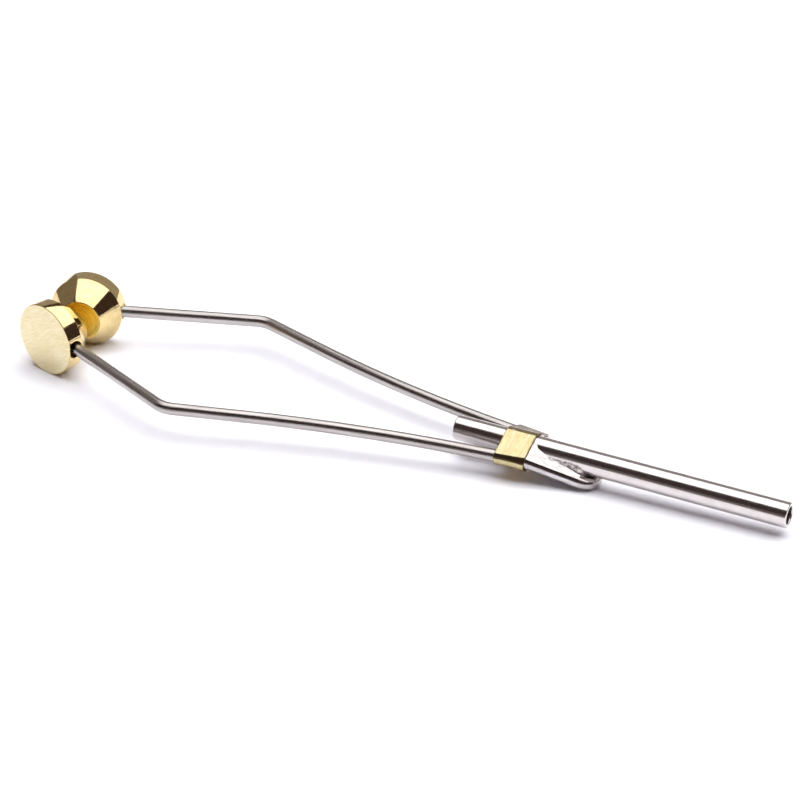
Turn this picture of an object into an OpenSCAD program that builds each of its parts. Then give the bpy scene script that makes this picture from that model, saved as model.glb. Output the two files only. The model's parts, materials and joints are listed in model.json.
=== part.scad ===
// Fly-tying bobbin holder: a thin steel tube soldered to a hairpin of spring
// wire, whose two sprung arms end in turned brass knobs that hold a thread spool.
// It lies as on a table: +X from the knobs to the tube's tip, +Y to the left
// arm, +Z up. The origin is under the middle of the part, on the table.

/* [Thread tube] */
// Outer diameter of the tube
tube_d = 3.2; // [2.4:0.1:4]
// Bore that the thread runs through
tube_bore_d = 2.2; // [1.2:0.1:2.8]
// Length of the tube
tube_l = 44; // [36:1:60]
// How far the tube reaches back past the band, towards the arms
tube_back = 6.9; // [3:0.1:12]
// Slope of the tube down towards its tip, in degrees
tube_droop = 1.1; // [0:0.1:2]
// Rounding of the tube's mouths, inside and out
tube_lip = 0.2; // [0.05:0.05:0.3]

/* [Spring wire] */
// Diameter of the wire
wire_d = 1.6; // [1:0.1:2]
// Solder-filled gap between the tube and each leg, at the legs' turn
leg_gap = 0.45; // [0.1:0.05:1.5]
// Height of the legs' axes over the hairpin's, at their turn
leg_rise = 2; // [1.6:0.1:2.4]
// Radius of each leg's slight turn down to the hairpin, inside the band
leg_r = 4; // [3:0.5:8]
// Angle of each leg to the middle, in degrees, from its turn to the bow
leg_splay = 7.8; // [4:0.2:12]
// Distance along X from the legs' turn to the middle of the bow
bow_run = 21.2; // [16:0.2:30]
// Radius of the long bow in each arm
bow_r = 172; // [100:2:220]
// Angle of each arm to the middle, in degrees, from the bow to the elbow
arm_splay = 17.4; // [14:0.1:22]
// Distance along X from the middle of the bow to the elbow
elbow_run = 23.8; // [16:0.2:30]
// Height of the elbows over the legs
elbow_rise = 1.3; // [0:0.1:3]
// Radius of the elbow, to the middle of the wire
elbow_r = 3.5; // [2:0.5:8]
// Level distance from the elbow to the mouth of the knob's hole
reach = 19; // [14:0.1:25]
// Stretch of each arm, back from the band, that bends when the arms spread
flex_run = 9.5; // [6:0.5:14]

/* [Hairpin] */
// Distance along X from the legs' turn to the middle of the hairpin's tip
hairpin_run = 8.7; // [7:0.1:12]
// Distance between the legs' axes at the tip
hairpin_w = 2.7; // [2.2:0.1:3.4]
// Clearance between the tube and the hairpin's tip, which solder fills
tip_gap = 0.05; // [0.02:0.01:0.2]

/* [Knobs] */
// Diameter of the knob's rim
knob_d = 9.8; // [8:0.1:12]
// Brass left across the rim on each side of the wire's hole
rim_wall = 0.26; // [0.2:0.02:1]
// Length of the cone that centres the spool
cone_l = 2.8; // [1.5:0.1:5]
// Diameter of the cone's small end
seat_d = 5.6; // [3:0.1:7]
// Angle that the knobs' axes lean towards the tube, in degrees
knob_toe = 15; // [8:0.5:22]
// Least gap between the two knobs at rest
knob_gap = 0.3; // [0.2:0.1:6]
// Chamfer of the rim's outer edge
rim_edge = 0.12; // [0.04:0.02:0.2]
// Chamfer of the cone's small end
seat_edge = 0.1; // [0.05:0.05:0.3]
// Depth that the wire reaches into the knob, from the rim's surface
socket_l = 4.2; // [3:0.1:4.6]
// Clearance between the wire and its hole, all round and at the bottom
socket_gap = 0.04; // [0.02:0.01:0.1]

/* [Clamp band] */
// Width of the brass strip, along the tube
band_w = 4; // [3:0.1:7]
// How far the band's front edge lies past the legs' turn
band_lead = 0.8; // [0.2:0.1:1.4]
// Thickness of the brass strip
band_t = 0.4; // [0.2:0.05:0.8]
// Film of solder between the strip and what it holds
film = 0.05; // [0.04:0.01:0.1]

/* [Solder] */
// How far the fillet stops short of the hairpin's tip
fillet_stop = 1.4; // [0.5:0.1:4]
// How far the fillet stays inside the outline of the legs and the tube
fillet_dip = 0.15; // [0.05:0.05:0.3]

/* [Hidden] */
$fn = 64;
hull_fn = 32;
far = 200;
over = 0.2;
slab = 0.01;
wire_sides = 24;
chord_gap = 0.006;
lip_share = 0.4;

steel = "gainsboro";
brass = "goldenrod";
solder = "silver";

// Radii
wire_r = wire_d / 2;
tube_r = tube_d / 2;
knob_r = knob_d / 2;
seat_r = seat_d / 2;
hole_r = wire_r + socket_gap;
rim_w = 2 * (hole_r + rim_wall);

// The left half of the wire's corners, along X from the legs' turn.
// The wire lies on the table at the hairpin's tip, and the knobs at their rims.
leg_y = tube_r + leg_gap + wire_r;
leg_z = wire_r + leg_rise;
bow_y = leg_y + bow_run * tan(leg_splay);
elbow_y = bow_y + elbow_run * tan(arm_splay);
elbow_z = leg_z + elbow_rise;
rise_per_run = elbow_rise / (bow_run + elbow_run);
knob_y = knob_gap / 2 + cos(knob_toe) * (rim_w / 2 + cone_l) + sin(knob_toe) * seat_r;
mouth_y = knob_y + knob_r * sin(knob_toe);
mouth_run = bow_run + elbow_run + sqrt(reach ^ 2 - (elbow_y - mouth_y) ^ 2);
knob_run = mouth_run + knob_r * cos(knob_toe);

// The part's two ends, along X from the legs' turn, and its middle
back_end = -knob_run - sin(knob_toe) * (rim_w / 2 - rim_edge) - knob_r * cos(knob_toe);
tube_start = band_lead - band_w - tube_back;
front_end = tube_start + tube_l * cos(tube_droop);
leg_x = -(back_end + front_end) / 2;
band_front = leg_x + band_lead;
band_back = band_front - band_w;
tip_x = leg_x + hairpin_run;
pivot_x = band_back - flex_run;

knob_c = [leg_x - knob_run, knob_y, knob_r];
mouth_c = [leg_x - mouth_run, mouth_y, knob_r];
elbow_c = [leg_x - bow_run - elbow_run, elbow_y, elbow_z];
bow_c = [leg_x - bow_run, bow_y, leg_z + rise_per_run * bow_run];
leg_c = [leg_x, leg_y, leg_z];
tip_c = [tip_x, hairpin_w / 2, wire_r];

// The way out of the knob's hole, along the wire to the elbow
mouth_way = unit(elbow_c - mouth_c);
wire_end = mouth_c - mouth_way * socket_l;

// The wire's corners from its left end to its right one, and their radii
WIRE = [wire_end, elbow_c, bow_c, leg_c, tip_c,
        across(tip_c), across(leg_c), across(bow_c), across(elbow_c), across(wire_end)];
tip_r = tip_c.y / tan(turn_at(WIRE, 4) / 2);
RADII = [0, elbow_r, bow_r, leg_r, tip_r, tip_r, leg_r, bow_r, elbow_r, 0];

// The tube's axis passes over the hairpin's tip and slopes down from the knobs'
// end to its own tip. run counts along X from the legs' turn.
function tube_z(x) = wire_d + tip_gap + tube_r / cos(tube_droop) - (x - tip_x) * tan(tube_droop);
function tube_at(run) = [leg_x + run, 0, tube_z(leg_x + run)];

// Where the left leg's axis crosses a plane square to X, at a run from the legs' turn
function leg_at(run) =
    run < 0 ? [leg_y - run * tan(leg_splay), leg_z - run * rise_per_run] :
    [leg_y + (tip_c.y - leg_y) * run / hairpin_run, leg_z + (tip_c.z - leg_z) * run / hairpin_run];

function across(p) = [p.x, -p.y, p.z];
function unit(v) = v / norm(v);
function way(p, i) = unit(p[i + 1] - p[i]);
function turn_at(p, i) = acos(way(p, i - 1) * way(p, i));
function trim_at(i) = RADII[i] == 0 ? 0 : RADII[i] * tan(turn_at(WIRE, i) / 2);

// Points along the bend at corner i, close enough to miss the true arc by no
// more than chord_gap, and along the wire from one corner to another
function bend_steps(i) = max(2, ceil(turn_at(WIRE, i) / (2 * acos(1 - chord_gap / RADII[i]))));
function bend_points(i) =
    let (into = way(WIRE, i - 1), axis = unit(cross(into, way(WIRE, i))), side = cross(axis, into),
         start = WIRE[i] - into * trim_at(i), steps = bend_steps(i))
    [for (k = [0 : steps]) let (a = turn_at(WIRE, i) * k / steps)
        start + RADII[i] * (into * sin(a) + side * (1 - cos(a)))];
function run_points(first, last) =
    [WIRE[first], for (i = [first + 1 : 1 : last - 1]) each bend_points(i), WIRE[last]];

// Neighbouring points that coincide are one
function clear(p) = [for (i = [0 : len(p) - 1]) if (i == 0 || norm(p[i] - p[i - 1]) > slab) p[i]];
function heading(p, i) =
    i == 0 ? unit(p[1] - p[0]) :
    i == len(p) - 1 ? unit(p[i] - p[i - 1]) :
    unit(unit(p[i] - p[i - 1]) + unit(p[i + 1] - p[i]));

// A round rod swept along points, with a ring of corners square to each heading
module sweep(points, d) {
    p = clear(points);
    rings = [for (i = [0 : len(p) - 1])
        let (along = heading(p, i), side = unit(cross([0, 0, 1], along)), up = cross(along, side))
        for (k = [0 : wire_sides - 1]) let (a = 360 * k / wire_sides)
            p[i] + d / 2 * (side * cos(a) + up * sin(a))];
    last = (len(p) - 1) * wire_sides;
    polyhedron(rings, [
        [for (k = [0 : wire_sides - 1]) k],
        [for (k = [wire_sides - 1 : -1 : 0]) last + k],
        for (i = [0 : wire_sides : last - 1], k = [0 : wire_sides - 1])
            let (next = (k + 1) % wire_sides)
            each [[i + next, i + k, i + wire_sides + k],
                  [i + next, i + wire_sides + k, i + wire_sides + next]]]);
}

// The wire between two of its corners
module wire_run(first, last) {
    sweep(run_points(first, last), wire_d);
}

// What is drawn along Z, moved to a point and turned to a direction
module aimed(point, way) {
    translate(point)
        rotate([0, acos(way.z), atan2(way.y, way.x)])
            children();
}

// A round rod from one point to another
module rod(from, to, d) {
    aimed(from, unit(to - from))
        cylinder(d = d, h = norm(to - from));
}

// A slice of space between two places along X
module between(x0, x1) {
    translate([x0, -far, -far])
        cube([x1 - x0, 2 * far, 2 * far]);
}

module mirrored(side) {
    mirror([0, side < 0 ? 1 : 0, 0])
        children();
}

// The tube's outside as a solid rod, for cutting its neighbours
module tube_solid() {
    rod(tube_at(tube_start), tube_at(front_end), tube_d);
}

// The outline round both legs and the tube, a thin slab at a run from the legs'
// turn. grow sets it off outwards.
module bundle_slab(run, grow) {
    leg = leg_at(run);
    x = leg_x + run;
    for (y = [-leg[0], leg[0]])
        translate([x, y, leg[1]])
            rotate([0, 90, 0])
                cylinder(r = wire_r + grow, h = slab, center = true, $fn = hull_fn);
    translate([x, 0, tube_z(x)])
        rotate([0, 90, 0])
            cylinder(r = tube_r + grow, h = slab, center = true, $fn = hull_fn);
}

// The same outline over the band's whole width, running a little past both its edges
module bundle(grow) {
    hull()
        for (run = [band_lead - band_w - over, 0, band_lead + over])
            bundle_slab(run, grow);
}

module thread_tube() {
    bore_r = tube_bore_d / 2;
    lip = min(tube_lip, lip_share * (tube_r - bore_r));
    color(steel)
        aimed(tube_at(tube_start), unit(tube_at(front_end) - tube_at(tube_start)))
                rotate_extrude()
                    polygon([[bore_r + lip, 0], [tube_r - lip, 0], [tube_r, lip],
                             [tube_r, tube_l - lip], [tube_r - lip, tube_l],
                             [bore_r + lip, tube_l], [bore_r, tube_l - lip], [bore_r, lip]]);
}

module clamp_band() {
    color(brass)
        difference() {
            intersection() {
                bundle(film + band_t);
                between(band_back, band_front);
            }
            bundle(film);
        }
}

module band_solder() {
    color(solder)
        difference() {
            intersection() {
                bundle(film);
                between(band_back, band_front);
            }
            tube_solid();
            wire_run(2, 4);
            wire_run(5, 7);
        }
}

module loop_solder() {
    end_run = hairpin_run - fillet_stop;
    end = leg_at(end_run);
    color(solder)
        difference() {
            intersection() {
                hull() {
                    bundle_slab(band_lead, -fillet_dip);
                    for (y = [-end[0], end[0]])
                        translate([leg_x + end_run, y, end[1]])
                            sphere(r = wire_r - fillet_dip, $fn = hull_fn);
                }
                between(band_front, tip_x);
            }
            tube_solid();
            wire_run(2, 7);
        }
}

module wire_hairpin() {
    color(steel)
        intersection() {
            wire_run(2, 7);
            between(band_back, tip_x + wire_d);
        }
}

module flexure(side) {
    color(steel)
        mirrored(side)
            intersection() {
                wire_run(1, 3);
                between(pivot_x, band_back);
            }
}

// From the knob's hole to where the arm turns as it spreads
module arm(side) {
    color(steel)
        mirrored(side)
            intersection() {
                wire_run(0, 3);
                between(-far, pivot_x);
            }
}

// A knob turned about its own axis, with the outer face at -rim_w / 2
module knob(side) {
    face = -rim_w / 2;
    end = rim_w / 2 + cone_l;
    color(brass)
        mirrored(side)
            difference() {
                translate(knob_c)
                    rotate([90, 0, knob_toe])
                        rotate_extrude()
                            polygon([[0, face], [knob_r - rim_edge, face], [knob_r, face + rim_edge],
                                     [knob_r, rim_w / 2], [seat_r, end - seat_edge],
                                     [seat_r - seat_edge, end], [0, end]]);
                rod(wire_end - mouth_way * socket_gap, mouth_c + mouth_way * knob_r, 2 * hole_r);
            }
}

thread_tube();
clamp_band();
wire_hairpin();
flexure(1);  // left_flexure
flexure(-1);  // right_flexure
arm(1);  // left_arm
arm(-1);  // right_arm
knob(1);  // left_knob
knob(-1);  // right_knob
band_solder();
loop_solder();
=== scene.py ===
import json
import math
import bmesh
import bpy
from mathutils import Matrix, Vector, noise


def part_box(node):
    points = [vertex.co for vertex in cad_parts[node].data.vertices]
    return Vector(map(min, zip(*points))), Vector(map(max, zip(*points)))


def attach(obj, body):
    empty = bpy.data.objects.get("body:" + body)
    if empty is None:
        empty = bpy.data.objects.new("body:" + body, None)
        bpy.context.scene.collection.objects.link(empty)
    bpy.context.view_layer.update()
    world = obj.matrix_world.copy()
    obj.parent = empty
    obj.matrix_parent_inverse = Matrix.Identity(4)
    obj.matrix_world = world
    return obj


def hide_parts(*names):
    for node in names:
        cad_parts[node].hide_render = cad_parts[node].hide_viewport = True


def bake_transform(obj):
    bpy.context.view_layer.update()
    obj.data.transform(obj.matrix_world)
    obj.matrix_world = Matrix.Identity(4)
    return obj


# A fly-tying bobbin holder: a thread tube, soldered and banded to a hairpin of
# spring wire, whose two sprung arms end in turned brass knobs for the spool.

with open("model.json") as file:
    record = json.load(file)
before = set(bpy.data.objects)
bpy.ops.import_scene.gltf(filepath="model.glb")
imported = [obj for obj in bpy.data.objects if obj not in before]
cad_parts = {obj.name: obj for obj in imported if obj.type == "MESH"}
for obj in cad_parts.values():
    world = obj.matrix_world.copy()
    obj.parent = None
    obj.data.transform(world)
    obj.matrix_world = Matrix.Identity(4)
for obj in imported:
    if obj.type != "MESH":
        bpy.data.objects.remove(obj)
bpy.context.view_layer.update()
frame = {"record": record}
mounts = {mount["name"]: mount for mount in frame["record"]["mounts"]}

MM = 0.001
UP = Vector((0, 0, 1))


def millimetres(place):
    return Vector(place) / MM


def on_side(point, side):
    """The same place on the left side, 1, or mirrored to the right side, -1."""
    return Vector((point.x, point.y * side, point.z))


def between(start, end, share):
    return start + (end - start) * share


def at_x(start, end, x):
    """The place on a straight line at a distance along the holder."""
    return between(start, end, (x - start.x) / (end.x - start.x))


def eased(value, low, high):
    """From 0 to 1 between two values, slow at both ends."""
    share = min(max((value - low) / (high - low), 0), 1)
    return share * share * (3 - 2 * share)


# Sizes in millimetres, and angles in degrees, here and in each piece's section
WIRE_D = 1.6
WIRE_R = WIRE_D / 2
ELBOW_R = 3.5
BOW_R = 172
LEG_R = 4
KNOB_R = (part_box("left_knob")[1].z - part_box("left_knob")[0].z) / MM / 2
KNOB_RIM = 2.2
CONE_L = 2.8
SEAT_R = 2.8
SOCKET_L = 4.2
SOCKET_GAP = 0.04
HOLE_R = WIRE_R + SOCKET_GAP
BAND_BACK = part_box("clamp_band")[0].x / MM
BAND_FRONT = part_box("clamp_band")[1].x / MM
BAND_MIDDLE = (BAND_BACK + BAND_FRONT) / 2
TUBE_R = mounts["rack_shank"]["dims"]["r_mm"]
BORE_R = mounts["thread_bore"]["dims"]["r_mm"]
TUBE_MIDDLE = millimetres(mounts["thread_bore"]["pos_m"])
TUBE_WAY = Vector(mounts["thread_bore"]["axis"])
TUBE_L = 44

# The wire's corners on the left side, from the elbow to the hairpin's tip. The leg runs
# straight on through the band to its front edge, where the loop turns down
TURN_X = BAND_FRONT - 0.8
ELBOW = Vector((TURN_X - 45, 13.2125, 4.1))
BOW = Vector((TURN_X - 21.2, 5.7540, 3.4124))
LEG = at_x(BOW, Vector((TURN_X, 2.85, 2.85)), BAND_FRONT)
TIP = Vector((TURN_X + 8.7, 1.35, 0.8))


def tube_z(x):
    """The height of the tube's middle, which droops towards the front."""
    return TUBE_MIDDLE.z + (x - TUBE_MIDDLE.x) * TUBE_WAY.z / TUBE_WAY.x


def leg_at(x):
    """The middle of the left leg at a place along the holder, behind or ahead of the band."""
    return at_x(BOW, LEG, x) if x < LEG.x else at_x(LEG, TIP, min(x, TIP.x))


def knob_spot(way):
    """A knob's axis, from its outer face to its small end, and the middle of its rim."""
    face = mounts[way + "_knob_face"]
    axis = -Vector(face["axis"])
    return axis, millimetres(face["pos_m"]) + axis * KNOB_RIM / 2


def linear(code):
    """A hex colour as the linear values that a shader takes."""
    parts = [int(code[i:i + 2], 16) / 255 for i in (1, 3, 5)]
    return [p / 12.92 if p <= 0.04045 else ((p + 0.055) / 1.055) ** 2.4 for p in parts] + [1]


def add(tree, kind, inputs=None, **settings):
    """Adds a node. An input given as a socket is linked, and any other is set."""
    made = tree.nodes.new(kind)
    for name, value in settings.items():
        setattr(made, name, value)
    for socket, value in (inputs or {}).items():
        if isinstance(value, bpy.types.NodeSocket):
            tree.links.new(value, made.inputs[socket])
        else:
            made.inputs[socket].default_value = value
    return made


def ramp(tree, fac, stops):
    """A colour ramp through (place, colour) stops, the colours in hex."""
    made = add(tree, "ShaderNodeValToRGB", {"Fac": fac})
    points = made.color_ramp.elements
    while len(points) < len(stops):
        points.new(0.5)
    for point, (place, code) in zip(points, stops):
        point.position = place
        point.color = linear(code)
    return made.outputs["Color"]


def spread(tree, value, low, high, to_low, to_high):
    """A value between two limits, as far between two others."""
    return add(tree, "ShaderNodeMapRange", {
        "Value": value, "From Min": low, "From Max": high, "To Min": to_low, "To Max": to_high
    }).outputs["Result"]


def worked(tree, kind, a, b):
    """Two values added, multiplied and so on."""
    return add(tree, "ShaderNodeMath", {0: a, 1: b}, operation=kind).outputs["Value"]


def blended(tree, share, under, over):
    """One colour laid over another by a share."""
    return add(tree, "ShaderNodeMix", {0: share, 6: under, 7: over}, data_type="RGBA").outputs[2]


def material(name):
    """A new metal, its tree and its shader."""
    made = bpy.data.materials.new(name)
    made.use_nodes = True
    shader = made.node_tree.nodes["Principled BSDF"]
    shader.inputs["Metallic"].default_value = 1
    return made, made.node_tree, shader


def placed(tree, middle, turn=0, folded=False):
    """Object coordinates in millimetres about a middle, turned about the upright.

    Folded, the right side reads as the left side does."""
    there = add(tree, "ShaderNodeTexCoord").outputs["Object"]
    if folded:
        parts = add(tree, "ShaderNodeSeparateXYZ", {0: there}).outputs
        there = add(tree, "ShaderNodeCombineXYZ", {
            "X": parts["X"], "Y": worked(tree, "ABSOLUTE", parts["Y"], 0), "Z": parts["Z"]
        }).outputs["Vector"]
    moved = add(tree, "ShaderNodeMapping", {
        "Vector": there, "Location": -Vector(middle), "Scale": (1 / MM, 1 / MM, 1 / MM)})
    return add(tree, "ShaderNodeMapping", {
        "Vector": moved.outputs["Vector"], "Rotation": (0, 0, turn)}).outputs["Vector"]


def stretched(tree, vector, scale, tilt=0):
    """A place tilted about the length, then scaled, which draws a pattern out into lines."""
    tilted = add(tree, "ShaderNodeMapping", {"Vector": vector, "Rotation": (tilt, 0, 0)})
    return add(tree, "ShaderNodeMapping", {
        "Vector": tilted.outputs["Vector"], "Scale": scale}).outputs["Vector"]


def grain(tree, vector, per_mm, detail=3):
    """Noise of so many spots to the millimetre."""
    return add(tree, "ShaderNodeTexNoise", {
        "Vector": vector, "Scale": per_mm, "Detail": detail, "Roughness": 0.55}).outputs["Fac"]


def finished(tree, shader, tone, rough, height, depth):
    """Gives a metal its colour, its roughness and a relief so many millimetres deep."""
    tree.links.new(tone, shader.inputs["Base Color"])
    tree.links.new(rough, shader.inputs["Roughness"])
    relief = add(tree, "ShaderNodeBump", {"Strength": 1, "Distance": depth * MM, "Height": height})
    tree.links.new(relief.outputs["Normal"], shader.inputs["Normal"])


# Lines from a die, a buff, a lathe tool or abrasive paper are a few hundredths of a
# millimetre apart, too fine to show, so all are drawn 4 to 8 to the millimetre.
# The width of a line from the die or the buff over its length
LINE_DRAG = 0.04
# The same for the rings that the lathe left round a knob
RING_DRAG = 0.03

KNOB_AXIS, KNOB_MIDDLE = knob_spot("left")
KNOB_TURN = -math.atan2(KNOB_AXIS.y, KNOB_AXIS.x)

# Where the wire leaves the right knob, and how far from there the painted shade on the
# wire thins out, from and to, all round the wire and on the wire's underside
RIGHT_MOUTH = on_side(KNOB_MIDDLE + UP.cross(KNOB_AXIS) * KNOB_R, -1)
ROOT_SHADE = "#1E1612"
ROOT_SHADE_ROUND = (0.92, 1.15)
ROOT_SHADE_UNDER = (1.5, 1.8)

# How far in from its long edges the strip is darkened, and how far over on the far side
# the painted shade sets in, from and to
DARK_EDGE = (0.2, 0.04)
FAR_SHADE_SPAN = (0.7, 1.5)
# Where solder was wiped on the band, from its middle at the tube's axis, and how far
SMEARS = [((-1.3, -0.2, 2.05), 0.4), ((-1.7, 0.5, 2.0), 0.3)]


def wire_lines(tree):
    """Millimetres round the wire's section and, far stretched, along it."""
    section = add(tree, "ShaderNodeAttribute", attribute_name="section_place")
    along = add(tree, "ShaderNodeAttribute", attribute_name="wire_along")
    across = add(tree, "ShaderNodeVectorMath", {
        0: section.outputs["Vector"], "Scale": 1 / MM}, operation="SCALE")
    reach = add(tree, "ShaderNodeCombineXYZ", {
        "Z": worked(tree, "MULTIPLY", along.outputs["Fac"], LINE_DRAG / MM)})
    return add(tree, "ShaderNodeVectorMath", {
        0: across.outputs["Vector"], 1: reach.outputs["Vector"]}).outputs["Vector"]


def drawn_spring_steel():
    """Drawn spring wire, wiped but not polished: a satin shine with long faint lines
    from the die, duller where it was handled, and with painted shade round it where it
    leaves the right knob and further along its underside."""
    made, tree, shader = material("drawn_spring_steel")
    place = wire_lines(tree)
    lines = grain(tree, place, 5, 4)
    haze = grain(tree, place, 0.9, 2)
    bare = ramp(tree, lines, [(0.3, "#A8A29F"), (0.62, "#C6C1BE")])
    tone = blended(tree, spread(tree, haze, 0.35, 0.7, 0, 0.35), bare, linear("#958D89"))
    near = placed(tree, RIGHT_MOUTH)
    # Painted shade: near the right knob's hole the wire is darkened all round, and a little further
    # out on its underside.
    away = add(tree, "ShaderNodeVectorMath", {0: near}, operation="LENGTH").outputs["Value"]
    away = worked(tree, "ADD", away, spread(tree, lines, 0.3, 0.7, -0.1, 0.1))
    height = add(tree, "ShaderNodeSeparateXYZ", {0: near}).outputs["Z"]
    below = spread(tree, height, -0.2, 0.1, 1, 0)
    under = worked(tree, "MULTIPLY", below, spread(tree, away, *ROOT_SHADE_UNDER, 1, 0))
    root_shade = worked(tree, "MAXIMUM", under, spread(tree, away, *ROOT_SHADE_ROUND, 1, 0))
    tone = blended(tree, root_shade, tone, linear(ROOT_SHADE))
    finished(tree, shader, tone, spread(tree, haze, 0.3, 0.7, 0.22, 0.3), lines, 0.0011)
    return made


def polished_stainless():
    """Stainless tube, buffed lengthwise: nearly a mirror, faintly lined and clouded."""
    made, tree, shader = material("polished_stainless_tube")
    place = placed(tree, TUBE_MIDDLE)
    lines = grain(tree, stretched(tree, place, (LINE_DRAG, 1, 1)), 7, 4)
    haze = grain(tree, place, 0.7, 3)
    bare = ramp(tree, lines, [(0.3, "#CCC6C3"), (0.65, "#DAD5D2")])
    tone = blended(tree, spread(tree, haze, 0.4, 0.75, 0, 0.4), bare, linear("#C4BBB8"))
    finished(tree, shader, tone, spread(tree, haze, 0.3, 0.7, 0.15, 0.21), lines, 0.0006)
    return made


def tube_bore():
    """The tube's inside as drawn, dull and brown with oil."""
    made, tree, shader = material("oiled_tube_bore")
    lines = grain(tree, stretched(tree, placed(tree, TUBE_MIDDLE), (LINE_DRAG, 1, 1)), 5)
    tone = ramp(tree, lines, [(0.3, "#4E4642"), (0.7, "#7C736E")])
    finished(tree, shader, tone, spread(tree, lines, 0.3, 0.7, 0.5, 0.38), lines, 0.003)
    return made


def knob_place(tree):
    """Millimetres from a knob's middle: along its axis, then across it."""
    return placed(tree, KNOB_MIDDLE, KNOB_TURN, True)


def polished_brass():
    """Turned brass, buffed bright: it mirrors the room in slightly uneven patches, with
    faint rings from the tool and a breath of olive tarnish."""
    made, tree, shader = material("polished_turned_brass")
    place = knob_place(tree)
    lines = grain(tree, stretched(tree, place, (1, RING_DRAG, RING_DRAG)), 6, 2)
    swell = grain(tree, place, 0.45, 1)
    tarnish = grain(tree, stretched(tree, place, (1, 1, 1), 0.6), 0.8, 3)
    bare = ramp(tree, lines, [(0.3, "#E1C88C"), (0.7, "#ECD6A1")])
    tone = blended(tree, spread(tree, tarnish, 0.5, 0.75, 0, 0.5), bare, linear("#C0A969"))
    height = worked(tree, "ADD", worked(tree, "MULTIPLY", lines, 0.05), swell)
    finished(tree, shader, tone, spread(tree, tarnish, 0.35, 0.75, 0.06, 0.14), height, 0.006)
    return made


def satin_brass():
    """The knob's outer face, rubbed one way on fine paper: pale, with slanting hairlines."""
    made, tree, shader = material("satin_rubbed_brass")
    place = knob_place(tree)
    hairs = grain(tree, stretched(tree, place, (1, 1, 0.06), 0.9), 8, 4)
    cross = grain(tree, stretched(tree, place, (1, 1, 0.1), 1.3), 5, 3)
    cloud = grain(tree, place, 0.35, 2)
    both = worked(tree, "ADD", worked(tree, "MULTIPLY", hairs, 0.6),
                  worked(tree, "MULTIPLY", cross, 0.4))
    rubbed = ramp(tree, both, [(0.36, "#D9CA98"), (0.5, "#E5D9B1"), (0.64, "#EEE5C8")])
    tone = blended(tree, spread(tree, cloud, 0.35, 0.7, 0, 0.45), rubbed, linear("#DCCB9A"))
    finished(tree, shader, tone, spread(tree, both, 0.3, 0.7, 0.3, 0.42), both, 0.0005)
    return made


def faced_brass():
    """The small end, faced on the lathe and left: deep gold with fine rings."""
    made, tree, shader = material("lathe_faced_brass")
    flat = add(tree, "ShaderNodeVectorMath", {
        0: stretched(tree, knob_place(tree), (0, 1, 1))}, operation="LENGTH").outputs["Value"]
    from_axis = add(tree, "ShaderNodeCombineXYZ", {"X": flat}).outputs["Vector"]
    rings = grain(tree, from_axis, 4.5, 3)
    tone = ramp(tree, rings, [(0.35, "#E0B84E"), (0.5, "#EACB68"), (0.65, "#F3DD8A")])
    finished(tree, shader, tone, spread(tree, rings, 0.3, 0.7, 0.24, 0.34), rings, 0.002)
    return made


def drilled_hole():
    """The knob's hole, painted near black for the shade inside it."""
    made, tree, shader = material("drilled_hole_painted_shade")
    spots = grain(tree, knob_place(tree), 3)
    tone = ramp(tree, spots, [(0.35, "#17100B"), (0.7, "#3A2717")])
    finished(tree, shader, tone, spread(tree, spots, 0.3, 0.7, 0.6, 0.45), spots, 0.004)
    return made


def rolled_brass():
    """Thin brass strip, pressed round by hand: pale and bright, rubbed and dented,
    darker brown along its long edges, with painted shade on the far side and a painted
    highlight low down, and smeared with solder."""
    made, tree, shader = material("hand_pressed_brass_strip")
    place = placed(tree, (BAND_MIDDLE, 0, tube_z(BAND_MIDDLE)))
    parts = add(tree, "ShaderNodeSeparateXYZ", {0: place}).outputs
    dents = grain(tree, place, 1.3, 3)
    rubs = grain(tree, stretched(tree, place, (1, 0.12, 0.12)), 3, 3)
    bare = ramp(tree, rubs, [(0.3, "#B3A780"), (0.5, "#BCB089"), (0.72, "#C4B995")])
    bare = blended(tree, spread(tree, dents, 0.52, 0.72, 0, 0.6), bare, linear("#B99E5E"))
    # Painted highlight: below the tube's middle the strip turns a paler gold.
    low = spread(tree, worked(tree, "ADD", parts["Z"], dents), -0.9, -0.5, 1, 0)
    bare = blended(tree, low, bare, linear("#E3CB98"))
    # The strip is darker brown along its long edges.
    from_middle = worked(tree, "ABSOLUTE", parts["X"], 0)
    ragged = worked(tree, "ADD", from_middle, spread(tree, dents, 0.3, 0.7, -0.1, 0.1))
    half = (BAND_FRONT - BAND_BACK) / 2
    darkened_edges = spread(tree, ragged, half - DARK_EDGE[0], half - DARK_EDGE[1], 0, 0.85)
    # Painted shade: over on the far side the strip turns the same dark brown.
    far = spread(tree, worked(tree, "ADD", parts["Y"], dents), *FAR_SHADE_SPAN, 0, 0.9)
    dark_edges_and_far_shade = worked(tree, "MAXIMUM", darkened_edges, far)
    tone = blended(tree, dark_edges_and_far_shade, bare, ramp(tree, dents, [(0.35, "#4A3620"), (0.7, "#94794C")]))
    smears = None
    for spot, size in SMEARS:
        away = add(tree, "ShaderNodeVectorMath", {
            0: place, 1: spot}, operation="DISTANCE").outputs["Value"]
        away = worked(tree, "ADD", away, spread(tree, dents, 0.3, 0.7, -size / 2, size / 2))
        smear = spread(tree, away, size * 0.7, size, 1, 0)
        smears = smear if smears is None else worked(tree, "MAXIMUM", smears, smear)
    tone = blended(tree, smears, tone, linear("#B9A79C"))
    dull = worked(tree, "MULTIPLY", worked(tree, "MAXIMUM", dark_edges_and_far_shade, smears), 0.42)
    rough = worked(tree, "MAXIMUM", spread(tree, dents, 0.3, 0.7, 0.1, 0.18), dull)
    height = worked(tree, "ADD", dents, worked(tree, "MULTIPLY", rubs, 0.15))
    finished(tree, shader, tone, rough, height, 0.008)
    return made


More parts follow.
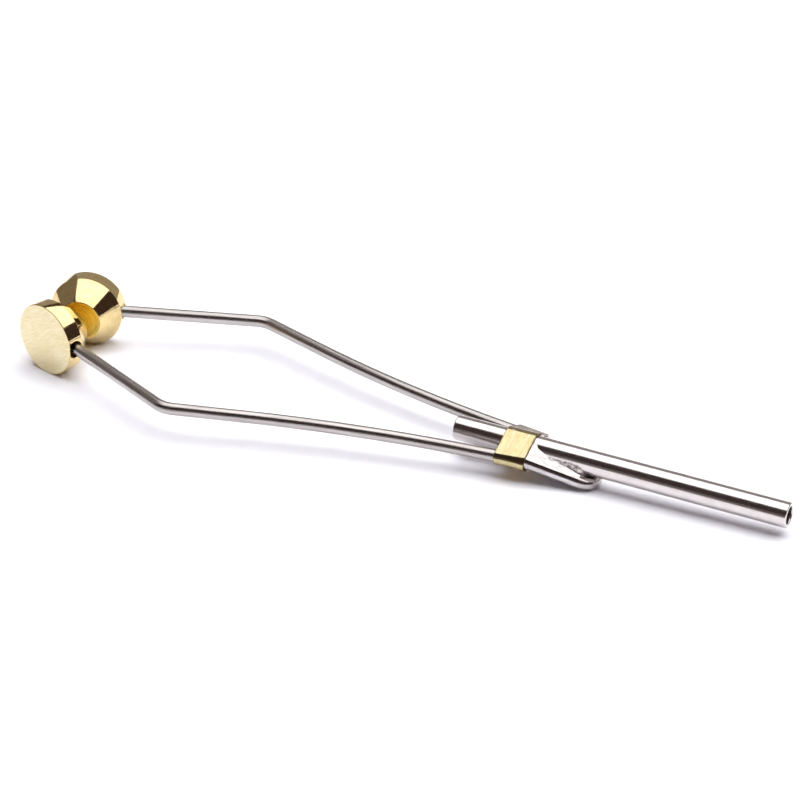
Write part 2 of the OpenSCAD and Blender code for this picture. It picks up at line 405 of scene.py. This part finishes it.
def bright_solder():
    """Tin solder that ran and froze smooth: white, with fine grey flow lines."""
    made, tree, shader = material("run_tin_solder")
    place = placed(tree, (BAND_FRONT, 0, 0))
    flow = grain(tree, stretched(tree, place, (0.3, 1.4, 1.4)), 0.9, 2)
    frost = grain(tree, place, 6, 3)
    tone = ramp(tree, flow, [
        (0.3, "#CCC9C9"), (0.46, "#BEBAB9"), (0.51, "#B2ADAC"), (0.57, "#C0BCBB"), (0.7, "#CDCACA")])
    finished(tree, shader, tone, spread(tree, frost, 0.3, 0.7, 0.09, 0.16), frost, 0.0008)
    return made


def rough_solder():
    """Solder that froze late under the tube: grainy, grey and pitted."""
    made, tree, shader = material("pitted_tin_solder")
    pits = grain(tree, placed(tree, (BAND_FRONT, 0, 0)), 3.2, 4)
    tone = ramp(tree, pits, [(0.36, "#978D8B"), (0.5, "#CCC4C1"), (0.62, "#E9E2DF")])
    finished(tree, shader, tone, spread(tree, pits, 0.35, 0.65, 0.62, 0.45), pits, 0.03)
    return made


WIRE_STEEL = drawn_spring_steel()
TUBE_STEEL = polished_stainless()
BORE_STEEL = tube_bore()
POLISHED_BRASS = polished_brass()
SATIN_BRASS = satin_brass()
FACED_BRASS = faced_brass()
HOLE_SHADE_BRASS = drilled_hole()
STRIP_BRASS = rolled_brass()
BRIGHT_SOLDER = bright_solder()
ROUGH_SOLDER = rough_solder()


def linked(name, data):
    """A new object in the scene, for a mesh, a lamp or a camera."""
    made = bpy.data.objects.new(name, data)
    bpy.context.scene.collection.objects.link(made)
    return made


def mesh_piece(name, points, faces, materials):
    """A piece from points in millimetres."""
    mesh = bpy.data.meshes.new(name)
    mesh.from_pydata([Vector(p) * MM for p in points], [], faces)
    for each in materials:
        mesh.materials.append(each)
    return linked(name, mesh)


def settled(piece):
    """The piece with its modifiers worked into a plain mesh."""
    bpy.context.view_layer.update()
    graph = bpy.context.evaluated_depsgraph_get()
    mesh = bpy.data.meshes.new_from_object(piece.evaluated_get(graph), depsgraph=graph)
    piece.modifiers.clear()
    piece.data = mesh
    return piece


def smoothed(piece, crease=35):
    """Outward faces, shaded smooth but for corners sharper than the crease."""
    work = bmesh.new()
    work.from_mesh(piece.data)
    bmesh.ops.remove_doubles(work, verts=work.verts, dist=1e-7)
    bmesh.ops.recalc_face_normals(work, faces=work.faces)
    work.to_mesh(piece.data)
    work.free()
    piece.data.polygons.foreach_set("use_smooth", [True] * len(piece.data.polygons))
    piece.data.set_sharp_from_angle(angle=math.radians(crease))
    piece.data.update()
    return piece


def loft(name, rings, materials, crease=35, ends=True):
    """A closed skin over rings of as many points each.

    Its two ends are filled, or without ends its last ring meets its first."""
    count = len(rings[0])
    points = [p for ring in rings for p in ring]
    faces = [
        [i * count + k, i * count + (k + 1) % count,
         (i + 1) * count + (k + 1) % count, (i + 1) * count + k]
        for i in range(len(rings) - 1) for k in range(count)]
    last = (len(rings) - 1) * count
    if ends:
        faces.append(list(range(count)))
        faces.append(list(range(last, last + count)))
    else:
        faces += [[last + k, last + (k + 1) % count, (k + 1) % count, k] for k in range(count)]
    return smoothed(mesh_piece(name, points, faces, materials), crease)


def rounded(profile, steps=5):
    """Points of a turned profile, (radius, along, rounding), its corners rounded."""
    out = []
    for i, (r, z, ease) in enumerate(profile):
        here = Vector((r, z))
        if not ease:
            out.append(here)
            continue
        back = (Vector(profile[i - 1][:2]) - here).normalized()
        on = (Vector(profile[(i + 1) % len(profile)][:2]) - here).normalized()
        half = back.angle(on) / 2
        trim = ease / math.tan(half)
        middle = here + (back + on).normalized() * (ease / math.sin(half))
        start = here + back * trim - middle
        turn = math.pi - 2 * half
        sign = 1 if back.x * on.y - back.y * on.x < 0 else -1
        for k in range(steps + 1):
            a = sign * turn * k / steps
            out.append(middle + Vector((start.x * math.cos(a) - start.y * math.sin(a),
                                        start.x * math.sin(a) + start.y * math.cos(a))))
    return out


def turned(name, profile, origin, axis, materials, finish_of=None, facets=192):
    """A lathe-turned piece: a profile of (radius, along) spun about an axis.

    A profile that starts off the axis is a ring, whose last row meets its first."""
    axis = axis.normalized()
    up = (UP - axis * UP.dot(axis)).normalized()
    side = axis.cross(up)
    points, rows = [], []
    for r, along in profile:
        if r < 1e-6:
            rows.append([len(points)] * facets)
            points.append(origin + axis * along)
            continue
        rows.append(list(range(len(points), len(points) + facets)))
        for k in range(facets):
            a = 2 * math.pi * k / facets
            points.append(origin + axis * along + (up * math.cos(a) + side * math.sin(a)) * r)
    faces, finishes = [], []
    closed = rows if profile[0][0] < 1e-6 else rows + rows[:1]
    for i in range(len(closed) - 1):
        for k in range(facets):
            j = (k + 1) % facets
            corners = [closed[i][k], closed[i][j], closed[i + 1][j], closed[i + 1][k]]
            faces.append([c for n, c in enumerate(corners) if c not in corners[:n]])
            finishes.append(finish_of(i) if finish_of else 0)
    piece = mesh_piece(name, points, faces, materials)
    piece.data.polygons.foreach_set("material_index", finishes)
    return smoothed(piece)


# How finely the wire is made: steps in a bend, millimetres along, sides of its section
BEND_STEPS = 96
WIRE_STEP = 0.25
WIRE_SIDES = 48


def wire_tree():
    """Geometry nodes that bend a line of corners and sweep the wire's round section along it."""
    tree = bpy.data.node_groups.new("wire_along_corners", "GeometryNodeTree")
    face = tree.interface
    face.new_socket("Corners", in_out="INPUT", socket_type="NodeSocketGeometry")
    face.new_socket("Wire Diameter", in_out="INPUT", socket_type="NodeSocketFloat")
    face.new_socket("Step", in_out="INPUT", socket_type="NodeSocketFloat")
    face.new_socket("Sides", in_out="INPUT", socket_type="NodeSocketInt")
    face.new_socket("Steel", in_out="INPUT", socket_type="NodeSocketMaterial")
    face.new_socket("Wire", in_out="OUTPUT", socket_type="NodeSocketGeometry")
    given = add(tree, "NodeGroupInput").outputs
    line = add(tree, "GeometryNodeMeshToCurve", {"Mesh": given["Corners"]})
    radius = add(tree, "GeometryNodeInputNamedAttribute", {"Name": "bend_radius"}, data_type="FLOAT")
    bent = add(tree, "GeometryNodeFilletCurve", {
        "Curve": line.outputs["Curve"], "Count": BEND_STEPS,
        "Radius": radius.outputs["Attribute"]}, mode="POLY")
    even = add(tree, "GeometryNodeResampleCurve", {
        "Curve": bent.outputs["Curve"], "Length": given["Step"]}, mode="LENGTH")
    length = add(tree, "GeometryNodeSplineParameter")
    path = add(tree, "GeometryNodeStoreNamedAttribute", {
        "Geometry": even.outputs["Curve"], "Name": "wire_along",
        "Value": length.outputs["Length"]}, data_type="FLOAT", domain="POINT")
    half = add(tree, "ShaderNodeMath", {0: given["Wire Diameter"], 1: 0.5}, operation="MULTIPLY")
    ring = add(tree, "GeometryNodeCurvePrimitiveCircle", {
        "Resolution": given["Sides"], "Radius": half.outputs["Value"]})
    spot = add(tree, "GeometryNodeInputPosition")
    section = add(tree, "GeometryNodeStoreNamedAttribute", {
        "Geometry": ring.outputs["Curve"], "Name": "section_place",
        "Value": spot.outputs["Position"]}, data_type="FLOAT_VECTOR", domain="POINT")
    swept = add(tree, "GeometryNodeCurveToMesh", {
        "Curve": path.outputs["Geometry"], "Profile Curve": section.outputs["Geometry"],
        "Fill Caps": True})
    smooth = add(tree, "GeometryNodeSetShadeSmooth", {"Geometry": swept.outputs["Mesh"]})
    real = add(tree, "GeometryNodeRealizeInstances", {"Geometry": smooth.outputs["Geometry"]})
    painted = add(tree, "GeometryNodeSetMaterial", {
        "Geometry": real.outputs["Geometry"], "Material": given["Steel"]})
    add(tree, "NodeGroupOutput", {"Wire": painted.outputs["Geometry"]})
    return tree


WIRE_TREE = wire_tree()


def wire(name, corners, radii):
    """Spring wire through corners in millimetres, bent to a radius at each."""
    mesh = bpy.data.meshes.new(name)
    edges = [(i, i + 1) for i in range(len(corners) - 1)]
    mesh.from_pydata([c * MM for c in corners], edges, [])
    bends = mesh.attributes.new("bend_radius", "FLOAT", "POINT")
    bends.data.foreach_set("value", [r * MM for r in radii])
    piece = linked(name, mesh)
    modifier = piece.modifiers.new("wire", "NODES")
    modifier.node_group = WIRE_TREE
    sizes = {"Wire Diameter": WIRE_D * MM, "Step": WIRE_STEP * MM, "Sides": WIRE_SIDES,
             "Steel": WIRE_STEEL}
    for item in WIRE_TREE.interface.items_tree:
        if item.in_out == "INPUT" and item.name in sizes:
            modifier[item.identifier] = sizes[item.name]
    return settled(piece)


# Hairpin: from the middle of the band on one side, round the tip, to the other. Its tip
# is one bend, a hair tighter than the space between the legs allows
hairpin_corners = [at_x(BOW, LEG, BAND_MIDDLE), LEG, TIP]
hairpin_corners += [on_side(c, -1) for c in reversed(hairpin_corners)]
tip_turn = (TIP - LEG).angle(on_side(TIP, -1) - TIP)
tip_radius = 0.998 * TIP.y / math.tan(tip_turn / 2)
hairpin = wire("hairpin_spring_wire", hairpin_corners,
               [0, LEG_R, tip_radius, tip_radius, LEG_R, 0])
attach(hairpin, "stem")
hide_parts("wire_hairpin")

# Arms and knobs, one of each a side
FACE_EDGE = 0.12
BACK_EDGE = 0.05
SEAT_EDGE = 0.12
knob_profile = rounded([
    (0, -KNOB_RIM / 2, 0), (KNOB_R, -KNOB_RIM / 2, FACE_EDGE), (KNOB_R, KNOB_RIM / 2, BACK_EDGE),
    (SEAT_R, KNOB_RIM / 2 + CONE_L, SEAT_EDGE), (0, KNOB_RIM / 2 + CONE_L, 0)])

# The drill's way in, below the rim's surface: a sink that opens the hole for the wire
SINK_WIDER = 0.22
SINK_START = 0.12
SINK_END = 0.3
HOLE_FACETS = 64
# Where the drill first slipped on the right knob's rim: how deep, how far down and out,
# and how much wider than the hole it is well outside
SLIP_L = 0.9
SLIP_DROP = 0.5
SLIP_OUT = 0.16
SLIP_WIDER = 0.1


def knob_finish(row):
    """Which brass a row of the knob has: its outer face, its small end or its sides."""
    if row == 0:
        return 1
    return 2 if row >= len(knob_profile) - 2 else 0


for side, way in ((1, "left"), (-1, "right")):
    axis, middle = knob_spot(way)
    outward = UP.cross(axis) * side
    mouth = middle + outward * KNOB_R
    elbow = on_side(ELBOW, side)
    bow = on_side(BOW, side)
    into = (mouth - elbow).normalized()
    end = mouth + into * SOCKET_L
    in_band = on_side(at_x(BOW, LEG, BAND_MIDDLE), side)
    arm = wire(way + "_arm_spring_wire", [end, elbow, bow, in_band], [0, ELBOW_R, BOW_R, 0])
    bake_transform(arm)
    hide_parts(way + "_arm", way + "_flexure")

    knob = turned(way + "_knob_turned", knob_profile, middle, axis,
                  [POLISHED_BRASS, SATIN_BRASS, FACED_BRASS], knob_finish)
    depth = SOCKET_L + SOCKET_GAP
    drill = [(0, -depth), (HOLE_R, -depth), (HOLE_R, -SINK_END),
             (HOLE_R + SINK_WIDER, -SINK_START), (HOLE_R + SINK_WIDER, 2), (0, 2)]
    # The hole and the slip are lined with painted shade.
    tools = [turned("drill", drill, mouth, -into, [HOLE_SHADE_BRASS], facets=HOLE_FACETS)]
    if side < 0:
        slip = [(0, -SLIP_L), (HOLE_R, -SLIP_L), (HOLE_R + SLIP_WIDER, 1), (0, 1)]
        slipped = mouth - UP * SLIP_DROP - axis * SLIP_OUT
        tools.append(turned("slip", slip, slipped, -outward, [HOLE_SHADE_BRASS], facets=HOLE_FACETS))
    for tool in tools:
        cut = knob.modifiers.new("hole", "BOOLEAN")
        cut.operation = "DIFFERENCE"
        cut.object = tool
        cut.solver = "EXACT"
    settled(knob)
    for tool in tools:
        bpy.data.objects.remove(tool)
    smoothed(knob)
    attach(knob, way + "_limb")
    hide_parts(way + "_knob")

# Thread tube: mouths rounded and polished inside and out
TUBE_LIP = 0.19
half = TUBE_L / 2
tube_profile = rounded([(BORE_R, -half, TUBE_LIP), (TUBE_R, -half, TUBE_LIP),
                        (TUBE_R, half, TUBE_LIP), (BORE_R, half, TUBE_LIP)])


def tube_finish(row):
    """Which steel a row of the tube has: its bore is the last."""
    return 1 if row == len(tube_profile) - 1 else 0


tube = turned("thread_tube_polished", tube_profile, TUBE_MIDDLE, TUBE_WAY,
              [TUBE_STEEL, BORE_STEEL], tube_finish, facets=128)
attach(tube, "stem")
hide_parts("thread_tube")

# Clamp band: a strip of thin brass pressed round the tube and both legs by hand. Towards
# the front it turns the right leg on ever wider rounds, moved in and up by a share of
# how much wider they are, and its lip stands off below
BAND_T = 0.32
FILM = 0.05
STAND_OFF = 0.03
SHOULDER = 0.05
BELL = 0.1
BELL_SHIFT = 0.35
LIP = 0.2
ROUND = 220
BAND_STEPS = 28
SEAM = 3
OUTLINE_STEPS = 1440


def belled(x):
    """How far towards the front edge a place is, as a share that grows late."""
    return max((x - BAND_BACK) / (BAND_FRONT - BAND_BACK), 0) ** 2.6


def wrapped(x, count):
    """The tight outline round the tube and both legs at a place along the holder.

    It starts under the tube and runs round past the left leg, the tube's top and
    the right leg. Each point comes with the way out of the outline."""
    leg = leg_at(x)
    wider = BELL * belled(x)
    shift = wider * BELL_SHIFT
    rounds = [(leg.y, leg.z, WIRE_R), (shift - leg.y, leg.z + shift, WIRE_R + wider),
              (0, tube_z(x), TUBE_R)]
    spots = []
    for k in range(OUTLINE_STEPS + 1):
        a = 2 * math.pi * k / OUTLINE_STEPS - math.pi / 2
        out = Vector((0, math.cos(a), math.sin(a)))
        y, z, r = max(rounds, key=lambda c: c[0] * out.y + c[1] * out.z + c[2])
        spots.append((Vector((x, y, z)) + out * r, out))
    runs = [0]
    for (here, _), (there, _) in zip(spots, spots[1:]):
        runs.append(runs[-1] + (there - here).length)
    outline, k = [], 0
    for i in range(count):
        run = runs[-1] * i / count
        while runs[k + 1] < run:
            k += 1
        share = (run - runs[k]) / max(runs[k + 1] - runs[k], 1e-9)
        outline.append((between(spots[k][0], spots[k + 1][0], share),
                        between(spots[k][1], spots[k + 1][1], share).normalized()))
    return outline


def pressed(place, out):
    """How far the strip stands off what it holds, where hand pressing left it uneven."""
    wave = noise.noise(place * 0.55) * 0.025 + noise.noise(place * 1.7) * 0.006
    around = math.degrees(math.atan2(-out.y, out.z))
    shoulder = SHOULDER * math.exp(-((around - 92) / 26) ** 2)
    lip = LIP * belled(place.x) * eased(around, 45, 110) * (1 - eased(around, 150, 180))
    return FILM + STAND_OFF + wave + shoulder + lip


points = []
for i in range(BAND_STEPS + 1):
    x = BAND_BACK + (BAND_FRONT - BAND_BACK) * i / BAND_STEPS
    for place, out in wrapped(x, ROUND)[SEAM:ROUND - SEAM]:
        points.append(place + out * pressed(place, out))
row = ROUND - 2 * SEAM
faces = [[i * row + k, i * row + k + 1, (i + 1) * row + k + 1, (i + 1) * row + k]
         for i in range(BAND_STEPS) for k in range(row - 1)]
band = mesh_piece("clamp_band_strip", points, faces, [STRIP_BRASS])
wall = band.modifiers.new("thickness", "SOLIDIFY")
wall.thickness = BAND_T * MM
wall.offset = 0.1
wall.use_even_offset = True
edge = band.modifiers.new("filed_edges", "BEVEL")
edge.width = 0.07 * MM
edge.segments = 3
edge.limit_method = "ANGLE"
edge.angle_limit = math.radians(60)
settled(band)
smoothed(band, 40)
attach(band, "stem")
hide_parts("clamp_band")

# Solder inside the band round the tube, its ends drawn in between the tube and the legs.
# Millimetres ahead of the band's back edge, and how far the solder is drawn in there
FILL = [(-0.32, 0.75), (-0.3, 0.5), (-0.2, 0.25), (-0.05, 0.06), (0.1, -0.02), (1.2, -0.02),
        (2, -0.02), (2.6, -0.02), (3.2, -0.02), (3.6, -0.02), (3.9, -0.02), (4.05, 0.05),
        (4.2, 0.2), (4.35, 0.45), (4.4, 0.8)]
FILL_ROUND = 192
# Where solder meets the tube, its skin lies just inside the tube's wall
UNDER_TUBE = 0.97 * TUBE_R


def cleared(place):
    """The place, moved out of the tube into its wall if it is inside."""
    middle = Vector((place.x, 0, tube_z(place.x)))
    away = place - middle
    return middle + away * max(1, UNDER_TUBE / away.length)


rings, linings = [], []
for ahead, draw in FILL:
    x = BAND_BACK + ahead
    ring = [place - out * (draw + 0.06 * noise.noise(place * 2.3))
            for place, out in wrapped(x, FILL_ROUND)]
    ring = [cleared(place) for place in ring]
    rings.append(ring)
    middle = Vector((x, 0, tube_z(x)))
    linings.append([middle + (place - middle).normalized() * UNDER_TUBE * 0.99 for place in ring])
fill = loft("band_solder_fill", rings + linings[::-1], [BRIGHT_SOLDER], ends=False)
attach(fill, "stem")
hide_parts("band_solder")

# Solder web ahead of the band: a bright skin that ran round each leg and in to the tube
# and, past a crease that nears the leg towards the tip, a rough mass under the tube
WEB_BACK = BAND_FRONT - 0.3
WEB_FRONT = TIP.x - 0.15
WEB_STEPS = 150
CREASE_START = TIP.x - 5.2
# Points round a leg, over the skin, over the mass and under the tube or between the legs
ARC = 24
SKIN = 30
UNDER = 20
# The skin's start below the leg and its shoulder, in degrees round the leg from its top
FOOT = 165
LEAN = 34
# How thick the solder is on the leg, and how much more it is right at the band
COAT = 0.05
COAT_AT_BAND = 0.1
# Millimetres behind the tip; how wide the skin is there from the leg's shoulder in; how
# far round the tube, in degrees from its top, the solder holds to it
EDGE = [(9, 2.6, 30), (7.39, 2.48, 40), (7.2, 2.08, 55), (6.76, 1.86, 63), (6.13, 1.6, 74),
        (5.38, 1.27, 86), (4.67, 1.22, 84), (3.69, 1.04, 80), (2.85, 0.93, 79), (1.9, 0.76, 82),
        (1.2, 0.56, 91), (0.8, 0.49, 100), (0.25, 0.3, 115), (-0.2, 0.23, 128)]
# The bead that froze on the far side at the band's front edge
BEAD_H = 0.4
BEAD_AHEAD = 0.3
BEAD_L = 0.5
BEAD_ACROSS = 0.78
BEAD_W = 0.17

# The middle of the left leg up to the tip, where both legs meet in one bend
LOOP_STEPS = 40
leg_way = (TIP - LEG).normalized()
bend_in = (Vector((0, -1, 0)) - leg_way * -leg_way.y).normalized()
bend_start = TIP - leg_way * TIP.y
LOOP = [LEG]
for k in range(LOOP_STEPS + 1):
    turn = tip_turn * k / LOOP_STEPS
    round_bend = leg_way * math.sin(turn) + bend_in * (1 - math.cos(turn))
    LOOP.append(bend_start + round_bend * tip_radius)


def loop_at(x):
    """The middle of the left leg at a place ahead of the band, round the tip."""
    for start, end in zip(LOOP, LOOP[1:]):
        if x <= end.x:
            return at_x(start, end, x)
    return LOOP[-1]


def bead_at(x, side, u):
    """How high the bead stands on the skin, a share u of the way across it."""
    if side < 0:
        return 0
    lumps = 1 + 0.35 * noise.noise(Vector((x * 3, u * 9, 1)))
    return BEAD_H * lumps * math.exp(-((x - BAND_FRONT - BEAD_AHEAD) / BEAD_L) ** 2
                                     - ((u - BEAD_ACROSS) / BEAD_W) ** 2)


def round_a(middle, radius, degrees):
    """A place round a section, in degrees from its top towards the outside."""
    a = math.radians(degrees)
    return middle + Vector((math.sin(a), math.cos(a))) * radius


def edge_at(x):
    """How wide the skin is and how far round the tube the solder holds."""
    behind = min(max(TIP.x - x, EDGE[-1][0]), EDGE[0][0])
    for start, end in zip(EDGE, EDGE[1:]):
        if end[0] <= behind <= start[0]:
            share = (start[0] - behind) / (start[0] - end[0])
            return [between(start[i], end[i], share) for i in (1, 2)]


def web_side(x, side):
    """Half a section of the solder, from below a leg, round it and over to the tube."""
    leg = loop_at(x)
    leg_middle = Vector((leg.y, leg.z))
    tube_middle = Vector((0, tube_z(x)))
    coat = COAT + COAT_AT_BAND * math.exp(-max(x - BAND_FRONT, 0) / 0.5)
    over_leg = WIRE_R + coat - 0.12 * eased(x, TIP.x - 0.9, WEB_FRONT)
    ring = [round_a(leg_middle, over_leg, FOOT + (LEAN - FOOT) * k / ARC) for k in range(ARC)]

    # The skin, from the leg's shoulder to its brink: the tube at first, then the crease
    shoulder = round_a(leg_middle, over_leg, LEAN)
    wide, hold = edge_at(x)
    inward = round_a(Vector((0, 0)), 1, LEAN - 90)
    out = round_a(Vector((0, 0)), 1, LEAN)
    brink = between(round_a(tube_middle, TUBE_R - 0.01, hold), shoulder + inward * wide,
                    eased(x, CREASE_START - 0.5, CREASE_START))
    for k in range(SKIN):
        u = k / SKIN
        spot = between(shoulder, brink, u)
        ripple = noise.noise(Vector((x, spot.x * side, spot.y)) * 1.1)
        sink = (0.03 + 0.02 * ripple) * math.sin(math.pi * u) * min(wide, 1)
        ring.append(spot + out * (bead_at(x, side, u) - sink))

    # The mass, a step below the brink, round the tube to where it holds and then under it
    deep = eased(x, CREASE_START, CREASE_START + 0.6)
    foot = brink - out * 0.2 * deep + inward * 0.02 - tube_middle
    turn = math.atan2(foot.x, foot.y)
    height = 1 - 0.6 * eased(x, TIP.x - 2, WEB_FRONT)
    for k in range(SKIN + 1):
        u = k / SKIN
        a = turn + (math.radians(hold) - turn) * u
        far = foot.length + (UNDER_TUBE - foot.length) * u
        place = Vector((x, math.sin(a) * far * side, tube_z(x) + math.cos(a) * far))
        lumps = (0.17 + 0.09 * noise.fractal(place * 2.6, 1, 2, 3)) * height
        far = max(far, UNDER_TUBE) + lumps * deep * eased(u, 0.08, 0.4) * (1 - eased(u, 0.8, 1))
        ring.append(tube_middle + Vector((math.sin(a), math.cos(a))) * far)
    for k in range(1, UNDER):
        ring.append(round_a(tube_middle, UNDER_TUBE, hold + (180 - hold) * k / UNDER))
    return [Vector((x, spot.x * side, spot.y)) for spot in ring]


def web_ring(x):
    """A whole section of the solder, hollow below, drawn to a blunt end near the tip."""
    left, right = web_side(x, 1), web_side(x, -1)
    leg = loop_at(x)
    below = []
    for k in range(1, UNDER):
        share = k / UNDER
        y = (leg.y + 0.2) * (2 * share - 1)
        hollow = 0.3 * math.sin(math.pi * share) + 0.05 * noise.noise(Vector((x, y, 3)) * 1.5)
        below.append(Vector((x, y, leg.z - 0.78 + hollow)))
    ring = left + [Vector((x, 0, tube_z(x) - UNDER_TUBE))] + right[::-1] + below
    heart = Vector((x - 0.3, 0, leg.z + 0.4))
    return [between(p, heart, 0.9 * eased(x, WEB_FRONT - 1.2, WEB_FRONT)) for p in ring]


web_step = (WEB_FRONT - WEB_BACK) / WEB_STEPS
rings = [web_ring(WEB_BACK + web_step * i) for i in range(WEB_STEPS + 1)]
web = loft("loop_solder_web", rings, [BRIGHT_SOLDER, ROUGH_SOLDER], 60)
count = len(rings[0])
mass = range(ARC + SKIN, ARC + 2 * SKIN + 1)
for number, face in enumerate(web.data.polygons):
    if number >= count * WEB_STEPS:
        continue
    x = face.center.x / MM
    place = number % count
    in_mass = x > CREASE_START and min(place, count - UNDER - place) in mass
    bead = bead_at(x, 1 if place < count / 2 else -1, (place - ARC) / SKIN)
    if in_mass or bead > 0.1:
        face.material_index = 1
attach(web, "stem")
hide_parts("loop_solder")


def sheet(name, corners, surface):
    """A flat stage piece through four corners in metres."""
    mesh = bpy.data.meshes.new(name)
    mesh.from_pydata(corners, [], [(0, 1, 2, 3)])
    mesh.materials.append(surface)
    piece = linked(name, mesh)
    return piece


# The stage, in metres: a matt white floor, half its width, and the dome's radius
FLOOR = 3.0
BACKDROP = 0.75
paper = bpy.data.materials.new("matt_white_paper")
paper.use_nodes = True
matt = paper.node_tree.nodes["Principled BSDF"]
there = add(paper.node_tree, "ShaderNodeTexCoord").outputs["Object"]
fibres = add(paper.node_tree, "ShaderNodeTexNoise", {"Vector": there, "Scale": 400, "Detail": 2})
tint = ramp(paper.node_tree, fibres.outputs["Fac"], [(0.3, "#F4F4FC"), (0.7, "#F8F8FF")])
paper.node_tree.links.new(tint, matt.inputs["Base Color"])
matt.inputs["Roughness"].default_value = 0.9
sheet("floor", [(x * FLOOR, y * FLOOR, 0) for x, y in ((-1, -1), (1, -1), (1, 1), (-1, 1))], paper)

# A pale dome round it all, seen by the camera alone
glow = bpy.data.materials.new("pale_backdrop_glow")
glow.use_nodes = True
shine = add(glow.node_tree, "ShaderNodeEmission", {"Color": linear("#FBF9FB")})
output = glow.node_tree.nodes["Material Output"]
glow.node_tree.links.new(shine.outputs["Emission"], output.inputs["Surface"])
work = bmesh.new()
bmesh.ops.create_icosphere(work, subdivisions=5, radius=BACKDROP)
mesh = bpy.data.meshes.new("backdrop")
work.to_mesh(mesh)
work.free()
mesh.materials.append(glow)
dome = linked("backdrop", mesh)
dome.visible_diffuse = dome.visible_glossy = False
dome.visible_transmission = dome.visible_shadow = False

# Camera: the place it looks at and how far off it stands, in millimetres, and how far
# round from the front and above the floor it stands, in degrees
AIM = Vector((1.0215, 0, 5.435))
DISTANCE = 359.351
ROUND_FROM_FRONT = 26.847
ABOVE_FLOOR = 29.125
around, above = math.radians(ROUND_FROM_FRONT), math.radians(ABOVE_FLOOR)
way_back = Vector((math.cos(above) * math.sin(around), -math.cos(above) * math.cos(around),
                   math.sin(above)))
camera = linked("camera", bpy.data.cameras.new("camera"))
camera.location = (AIM + way_back * DISTANCE) * MM
camera.rotation_mode = "QUATERNION"
camera.rotation_quaternion = (-way_back).to_track_quat("-Z", "Y")
camera.data.lens = 128.43
camera.data.sensor_width = 36
camera.data.clip_start = 0.01
camera.data.clip_end = 20
bpy.context.scene.camera = camera


def panel(name, place, aim, width, height, power, colour):
    """A soft light panel, its places and sizes in metres, its power in watts."""
    lamp = bpy.data.lights.new(name, "AREA")
    lamp.shape = "RECTANGLE"
    lamp.size = width
    lamp.size_y = height
    lamp.energy = power
    lamp.color = linear(colour)[:3]
    light = linked(name, lamp)
    light.location = place
    light.rotation_mode = "QUATERNION"
    light.rotation_quaternion = (Vector(aim) - Vector(place)).to_track_quat("-Z", "Y")
    light.visible_camera = False
    return light


# Watts from overhead, and how much of them shows in the metal as the soft box
OVERHEAD = 12.9
SOFT_SHARE = 0.55
panel("overhead", (0.175, 0.17, 0.7), (0.175, 0.17, 0), 1.25, 0.9, OVERHEAD * SOFT_SHARE, "#FFFFFF")
spill = panel("overhead_spill", (0.175, 0.17, 0.701), (0.175, 0.17, 0), 1.25, 0.9,
              OVERHEAD * (1 - SOFT_SHARE), "#FFFFFF")
spill.visible_glossy = False
panel("back_wall", (0, 1.2, 0.5), (0, 0, 0.5), 2.4, 1, 2.4, "#FFFAF5")
panel("side_wall", (-1.2, 0.25, 1.0), (0, 0.25, 1.0), 1.9, 2.0, 2.0, "#FFF4EA")
panel("front_wall", (-0.1, -1.2, 0.22), (-0.1, 0, 0.22), 2.2, 0.44, 0.4, "#FFF4EA")
world = bpy.data.worlds.new("dim_room")
bpy.context.scene.world = world
world.use_nodes = True
world.node_tree.nodes["Background"].inputs["Color"].default_value = linear("#3E3232")
bpy.context.scene.view_settings.view_transform = "Standard"
